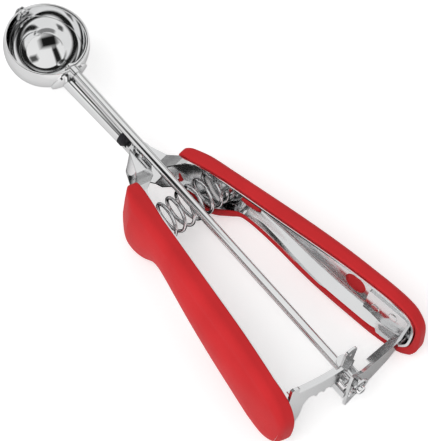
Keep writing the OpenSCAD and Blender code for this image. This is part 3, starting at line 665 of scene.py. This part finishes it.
class SCOOP_OT_arms(bpy.types.Operator):
    """Rack arm, bearing arm and guide bracket with their rivets"""
    bl_idname = "scoop.arms"
    bl_label = "Arms"

    def execute(self, context):
        for node in ("rack_arm", "rack_rivets", "bearing_arm", "bearing_rivets", "rod_bush", "guide_bracket",
                     "guide_rivets"):
            dress(node, "sheet_steel")
        return {"FINISHED"}


BOWL_MIDDLE = np.array([0.0, 0.0, -BOWL_SINK])
# The camera looks at this point of the working frame from its distance, square to its own axes: right, up, back.
CAMERA_AIM = np.array([95.0, 0.0, 0.0])
CAMERA_AXES = np.array([
    [0.637504, 0.760762, 0.121779],
    [-0.707067, 0.514925, 0.484674],
    [0.306014, -0.395088, 0.866176]])
CAMERA_DISTANCE = 960.0
CAMERA_LENS = 206.2
CAMERA_SHIFT = (0.0276, -0.0234)
CAMERA_CLIP = (0.05, 20)

FLOOR_HALF = 4
FLOOR_SHADE = 0.8
# Light added to the floor for the camera, and the most for mirrors beside the handles. The latter grows from
# nothing to its full value between two places along the floor, in metres.
FLOOR_SEEN = 0.42
FLOOR_MIRRORED = 0.36
FLOOR_FROM, FLOOR_TO = -0.055, -0.015
# The world's strength as light, and as camera and mirrors see it.
WORLD_LIGHT = 0.72
WORLD_SEEN = 1.0
# Lamps: direction they shine from, and strength.
LAMPS = {"key_lamp": ((0.15, -0.55, 0.82), 1.1), "fill_lamp": ((-0.3, -0.9, 0.3), 0.55)}
LAMP_SPREAD = math.radians(35)
# Dark and grey cards, as the polished bowl, tube and rod mirror them: degrees across and above the camera's line,
# width, height and turn in degrees, grey, share of the half size that fades out, and distance in metres.
CARDS = {
    "card_camera": (-3, -12, 72, 48, 12, 0.01, 0.55, 0.1),
    "card_streak": (-31, 28, 22, 70, 31, 0.015, 0.5, 0.1),
    "card_right": (46, 37, 34, 24, 10, 0.08, 0.6, 3.0),
    "card_low": (9, -44, 110, 40, 0, 0.12, 0.7, 1.5),
    "card_low_left": (-42, -30, 30, 64, 20, 0.1, 0.6, 1.5),
    "card_rod": (-53, -1.6, 13, 70, 41, 0.02, 0.35, 1.5),
    "card_behind": (180, 82, 80, 30, 0, 0.22, 0.35, 1.5),
}
# The dark card under the handles, just over the floor, seen only in reflections: painted shade in the floor that
# the handles' steel mirrors beneath them. Its middle along the working frame, then height and half size in
# metres, share that fades out, and grey.
UNDER_MIDDLE = [107.0, 0.0, 0.0]
UNDER_HEIGHT = 0.0006
UNDER_HALF = (0.0575, 0.008)
UNDER_FADE = 0.2
UNDER_SHADE = 0.02


def floor_material():
    """White floor: diffuse, with light added for the camera, and for mirrors beside the handles, not the bowl."""
    def build(nodes, links, shader):
        shader.inputs["Base Color"].default_value = (FLOOR_SHADE, FLOOR_SHADE, FLOOR_SHADE, 1)
        shader.inputs["Roughness"].default_value = 1.0
        shader.inputs["Specular IOR Level"].default_value = 0.0
        shader.inputs["Emission Color"].default_value = (1, 1, 1, 1)
        path = nodes.new("ShaderNodeLightPath")
        where, axes = nodes.new("ShaderNodeTexCoord"), nodes.new("ShaderNodeSeparateXYZ")
        beside = nodes.new("ShaderNodeMapRange")
        beside.inputs["From Min"].default_value = FLOOR_FROM
        beside.inputs["From Max"].default_value = FLOOR_TO
        beside.inputs["To Max"].default_value = FLOOR_MIRRORED
        total = nodes.new("ShaderNodeMath")
        total.operation = "MULTIPLY_ADD"
        total.inputs[1].default_value = FLOOR_SEEN
        mirrored = nodes.new("ShaderNodeMath")
        mirrored.operation = "MULTIPLY"
        links.new(where.outputs["Object"], axes.inputs[0])
        links.new(axes.outputs["X"], beside.inputs["Value"])
        links.new(path.outputs["Is Glossy Ray"], mirrored.inputs[0])
        links.new(beside.outputs["Result"], mirrored.inputs[1])
        links.new(path.outputs["Is Camera Ray"], total.inputs[0])
        links.new(mirrored.outputs[0], total.inputs[2])
        links.new(total.outputs[0], shader.inputs["Emission Strength"])
    return node_material("floor_white", build)


def card_material(name, shade):
    """A card's own grey, fading to nothing at its border by the mesh attribute cover."""
    material = bpy.data.materials.new(name)
    material.use_nodes = True
    nodes, links = material.node_tree.nodes, material.node_tree.links
    nodes.clear()
    out, mix = nodes.new("ShaderNodeOutputMaterial"), nodes.new("ShaderNodeMixShader")
    clear, glow = nodes.new("ShaderNodeBsdfTransparent"), nodes.new("ShaderNodeEmission")
    cover = nodes.new("ShaderNodeAttribute")
    cover.attribute_name = "cover"
    glow.inputs["Color"].default_value = (shade, shade, shade, 1)
    links.new(cover.outputs["Fac"], mix.inputs["Fac"])
    links.new(clear.outputs[0], mix.inputs[1])
    links.new(glow.outputs[0], mix.inputs[2])
    links.new(mix.outputs[0], out.inputs["Surface"])
    return material


def stage_sheet(name, middle, side, rise, half_side, half_rise, border, shade):
    """A flat sheet seen only in reflections: a 4 x 4 grid whose outer band, border of its half size, fades out."""
    steps = np.array([-1.0, -1.0 + border, 1.0 - border, 1.0])
    a, b = np.meshgrid(steps * half_side, steps * half_rise, indexing="ij")
    points = middle + a[..., None] * side + b[..., None] * rise
    ids = np.arange(16).reshape(4, 4)
    mesh = bpy.data.meshes.new(name)
    mesh.from_pydata(points.reshape(-1, 3).tolist(), [], quads(ids).tolist())
    cover = mesh.attributes.new("cover", "FLOAT", "POINT")
    cover.data.foreach_set("value", np.isin(ids, ids[1:-1, 1:-1]).ravel().astype(np.float32))
    mesh.materials.append(card_material(name, shade))
    obj = bpy.data.objects.new(name, mesh)
    bpy.context.scene.collection.objects.link(obj)
    obj.visible_camera = obj.visible_diffuse = obj.visible_shadow = obj.visible_transmission = False


def card(name, across, above, width, height, turn, shade, border, distance):
    """A sheet square to a direction given in degrees across and above the camera's line, as the bowl sees it."""
    right, up, back = turned(CAMERA_AXES)
    x, y, t = math.radians(across), math.radians(above), math.radians(turn)
    d = back * math.cos(x) * math.cos(y) + right * math.sin(x) * math.cos(y) + up * math.sin(y)
    side = np.cross(up, d)
    side /= np.linalg.norm(side)
    rise = np.cross(d, side)
    side, rise = math.cos(t) * side + math.sin(t) * rise, math.cos(t) * rise - math.sin(t) * side
    half = [distance * math.tan(math.radians(size / 2)) for size in (width, height)]
    stage_sheet(name, laid(BOWL_MIDDLE) + distance * d, side, rise, *half, border, shade)


def stage_floor(scene):
    """The floor, a square round the model's origin."""
    mesh = bpy.data.meshes.new("floor")
    corners = [(x * FLOOR_HALF, y * FLOOR_HALF, 0) for x, y in ((-1, -1), (1, -1), (1, 1), (-1, 1))]
    mesh.from_pydata(corners, [], [(0, 1, 2, 3)])
    mesh.materials.append(floor_material())
    floor = bpy.data.objects.new("floor", mesh)
    scene.collection.objects.link(floor)


def stage_world(scene):
    """White all round: WORLD_LIGHT as light, WORLD_SEEN where the camera or a mirror sees it."""
    world = bpy.data.worlds.new("studio")
    scene.world = world
    world.use_nodes = True
    nodes, links = world.node_tree.nodes, world.node_tree.links
    nodes.clear()
    out, mix = nodes.new("ShaderNodeOutputWorld"), nodes.new("ShaderNodeMixShader")
    path = nodes.new("ShaderNodeLightPath")
    light, seen = nodes.new("ShaderNodeBackground"), nodes.new("ShaderNodeBackground")
    either = nodes.new("ShaderNodeMath")
    either.operation = "MAXIMUM"
    light.inputs["Strength"].default_value = WORLD_LIGHT
    seen.inputs["Strength"].default_value = WORLD_SEEN
    links.new(path.outputs["Is Camera Ray"], either.inputs[0])
    links.new(path.outputs["Is Glossy Ray"], either.inputs[1])
    links.new(either.outputs[0], mix.inputs["Fac"])
    links.new(light.outputs[0], mix.inputs[1])
    links.new(seen.outputs[0], mix.inputs[2])
    links.new(mix.outputs[0], out.inputs["Surface"])


def stage_lamps(scene):
    """Broad soft lamps that the steel doesn't mirror."""
    for name, (towards, energy) in LAMPS.items():
        data = bpy.data.lights.new(name, "SUN")
        data.energy = energy
        data.angle = LAMP_SPREAD
        lamp = bpy.data.objects.new(name, data)
        scene.collection.objects.link(lamp)
        lamp.visible_glossy = False
        lamp.rotation_euler = Vector(towards).to_track_quat("Z", "Y").to_euler()


def stage_camera(scene):
    """The camera, turned and placed by its axes."""
    data = bpy.data.cameras.new("camera")
    data.sensor_width = 36.0
    data.lens = CAMERA_LENS
    data.shift_x, data.shift_y = CAMERA_SHIFT
    data.clip_start, data.clip_end = CAMERA_CLIP
    camera = bpy.data.objects.new("camera", data)
    scene.collection.objects.link(camera)
    axes = turned(CAMERA_AXES)
    place = laid(CAMERA_AIM) + MM * CAMERA_DISTANCE * axes[2]
    camera.matrix_world = Matrix([[*row, at] for row, at in zip(axes.T.tolist(), place.tolist())] + [[0, 0, 0, 1]])
    scene.camera = camera


class SCOOP_OT_stage(bpy.types.Operator):
    """Floor, world, lamps, reflection cards and camera"""
    bl_idname = "scoop.stage"
    bl_label = "Stage"

    def execute(self, context):
        scene = context.scene
        scene.view_settings.view_transform = "Standard"
        stage_floor(scene)
        stage_world(scene)
        stage_lamps(scene)
        for name, numbers in CARDS.items():
            card(name, *numbers)
        # Dark card under the handles, seen only in reflections: painted shade in the mirrored floor beneath them.
        middle = np.array([laid(UNDER_MIDDLE)[0], 0.0, UNDER_HEIGHT])
        along, aside = np.array([1.0, 0, 0]), np.array([0, 1.0, 0])
        stage_sheet("card_under", middle, along, aside, *UNDER_HALF, UNDER_FADE, UNDER_SHADE)
        stage_camera(scene)
        return {"FINISHED"}


OPERATORS = (SCOOP_OT_bowl, SCOOP_OT_wiper, SCOOP_OT_rod, SCOOP_OT_neck, SCOOP_OT_grips, SCOOP_OT_trays,
             SCOOP_OT_spring, SCOOP_OT_arms, SCOOP_OT_stage)


class SCOOP_PT_panel(bpy.types.Panel):
    """Lists the scoop's pieces and settings"""
    bl_label = "Cookie Scoop"
    bl_idname = "SCOOP_PT_panel"
    bl_space_type = "VIEW_3D"
    bl_region_type = "UI"
    bl_category = "Scoop"

    def draw(self, context):
        for name in ScoopSettings.__annotations__:
            self.layout.prop(context.scene.scoop_settings, name)
        for operator in OPERATORS:
            self.layout.operator(operator.bl_idname)


CLASSES = (ScoopSettings, *OPERATORS, SCOOP_PT_panel)


def register():
    for cls in CLASSES:
        bpy.utils.register_class(cls)
    bpy.types.Scene.scoop_settings = bpy.props.PointerProperty(type=ScoopSettings)


def unregister():
    del bpy.types.Scene.scoop_settings
    for cls in reversed(CLASSES):
        bpy.utils.unregister_class(cls)


def main():
    register()
    for call in (bpy.ops.scoop.bowl, bpy.ops.scoop.wiper, bpy.ops.scoop.rod, bpy.ops.scoop.neck,
                 bpy.ops.scoop.grips, bpy.ops.scoop.trays, bpy.ops.scoop.spring, bpy.ops.scoop.arms,
                 bpy.ops.scoop.stage):
        call()


if __name__ == "__main__":
    main()
